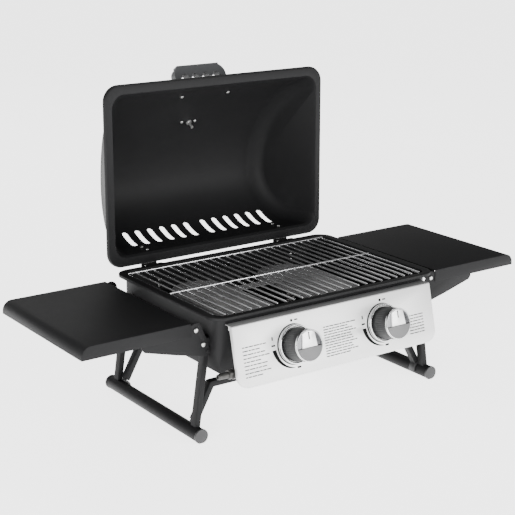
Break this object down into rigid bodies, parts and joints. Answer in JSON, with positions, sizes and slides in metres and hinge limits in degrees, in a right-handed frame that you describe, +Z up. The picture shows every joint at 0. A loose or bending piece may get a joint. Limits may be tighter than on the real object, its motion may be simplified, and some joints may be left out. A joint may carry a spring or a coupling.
{
  "type": "folding table-top gas grill",
  "caption": "Folding gas camp grill: open barrel lid, wire grate, tilted control panel with knobs, flip-up side shelves and folding tubular feet.",
  "frame": {"origin": "on the table, at the centre of the whole object's footprint with the lid open and the shelves level", "axes": "+X to the right when facing the control panel, +Y towards the lid's hinge, +Z up"},
  "size_m": [0.969, 0.5853, 0.5894],
  "materials": {
    "black_coat": "fine-textured matte black powder coat",
    "screw_steel": "zinc-plated steel",
    "plate_steel": "satin steel sheet",
    "burner_steel": "satin steel tube",
    "ceramic": "glazed white ceramic",
    "brass": "machined brass",
    "dark_brass": "darkened brass",
    "panel_steel": "satin stainless sheet",
    "chrome": "bright chrome plate",
    "black_plastic": "black moulded plastic",
    "handle_plastic": "grey moulded plastic",
    "dial_white": "matte white print",
    "needle_red": "red paint",
    "gauge_glass": "clear glass",
    "knob_plastic": "dark grey moulded plastic",
    "grate_chrome": "chrome-plated wire",
    "tray_steel": "plain pressed sheet"
  },
  "bodies": {
    "firebox": {"tub": "black_coat", "grate_rests": "black_coat", "heat_plate_left": "plate_steel", "heat_plate_right": "plate_steel", "heat_plate_bridge": "plate_steel", "burner_left": "burner_steel", "burner_right": "burner_steel", "spark_electrodes": "ceramic", "valve_left": "brass", "valve_right": "brass", "gas_manifold": "burner_steel", "gas_inlet": "dark_brass", "control_panel": "panel_steel", "knob_bezels": "chrome", "panel_screws": "screw_steel", "valve_screws": "screw_steel", "side_rail_left": "black_coat", "side_rail_right": "black_coat", "gussets_left": "black_coat", "gussets_right": "black_coat", "gusset_screws": "screw_steel", "shelf_pivot_screws": "screw_steel", "leg_pivot_pins": "screw_steel", "lower_hinges": "black_coat", "lower_hinge_screws": "screw_steel", "base_brace_front": "black_coat", "base_brace_rear": "black_coat", "brace_hangers": "black_coat", "brace_pads": "black_plastic", "tray_runners": "black_coat", "hinge_pins": "screw_steel"},
    "lid": {"lid_shell": "black_coat", "upper_hinges": "black_coat", "upper_hinge_screws": "screw_steel", "lid_handle": "handle_plastic", "handle_screws": "screw_steel", "thermometer_case": "chrome", "thermometer_dial": "dial_white", "thermometer_needle": "needle_red", "thermometer_glass": "gauge_glass", "thermometer_nut": "screw_steel", "thermometer_screws": "screw_steel"},
    "collar_left": {"push_collar_left": "brass"},
    "collar_right": {"push_collar_right": "brass"},
    "knob_left": {"knob_left": "knob_plastic", "knob_cap_left": "chrome", "valve_stem_left": "screw_steel"},
    "knob_right": {"knob_right": "knob_plastic", "knob_cap_right": "chrome", "valve_stem_right": "screw_steel"},
    "grate": {"grate": "grate_chrome"},
    "grease_tray": {"grease_tray": "tray_steel"},
    "shelf_left": {"shelf_left": "black_coat"},
    "shelf_right": {"shelf_right": "black_coat"},
    "leg_left": {"leg_left": "black_coat", "foot_caps_left": "black_plastic"},
    "leg_right": {"leg_right": "black_coat", "foot_caps_right": "black_plastic"}
  },
  "joints": [
    {"name": "lid_hinge", "type": "hinge", "parent": "firebox", "child": "lid", "pos_m": [0, 0.1367, 0.221], "axis": [1, 0, 0], "range_deg": [0, 90]},
    {"name": "shelf_left_hinge", "type": "hinge", "parent": "firebox", "child": "shelf_left", "pos_m": [-0.2665, -0.0373, 0.2022], "axis": [0, 1, 0], "range_deg": [0, 90]},
    {"name": "leg_left_hinge", "type": "hinge", "parent": "firebox", "child": "leg_left", "pos_m": [-0.243, -0.0373, 0.1605], "axis": [0, 1, 0], "range_deg": [0, 84]},
    {"name": "shelf_right_hinge", "type": "hinge", "parent": "firebox", "child": "shelf_right", "pos_m": [0.2665, -0.0373, 0.2022], "axis": [0, -1, 0], "range_deg": [0, 90]},
    {"name": "leg_right_hinge", "type": "hinge", "parent": "firebox", "child": "leg_right", "pos_m": [0.243, -0.0373, 0.1605], "axis": [0, -1, 0], "range_deg": [0, 84]},
    {"name": "knob_left_push", "type": "slide", "parent": "firebox", "child": "collar_left", "axis": [0, 0.9728, -0.2317], "range_m": [0, 0.003], "stiffness_N_per_m": 1500, "springref_m": -0.002},
    {"name": "knob_left_turn", "type": "hinge", "parent": "collar_left", "child": "knob_left", "pos_m": [-0.1, -0.24039, 0.15983], "axis": [0, -0.9728, 0.2317], "range_deg": [0, 180]},
    {"name": "knob_right_push", "type": "slide", "parent": "firebox", "child": "collar_right", "axis": [0, 0.9728, -0.2317], "range_m": [0, 0.003], "stiffness_N_per_m": 1500, "springref_m": -0.002},
    {"name": "knob_right_turn", "type": "hinge", "parent": "collar_right", "child": "knob_right", "pos_m": [0.1, -0.24039, 0.15983], "axis": [0, -0.9728, 0.2317], "range_deg": [0, 180]},
    {"name": "grate_lift", "type": "slide", "parent": "firebox", "child": "grate", "axis": [0, 0, -1], "range_m": [-0.06, 0]},
    {"name": "tray_slide", "type": "slide", "parent": "firebox", "child": "grease_tray", "axis": [0, 1, 0], "range_m": [0, 0.12]}
  ]
}
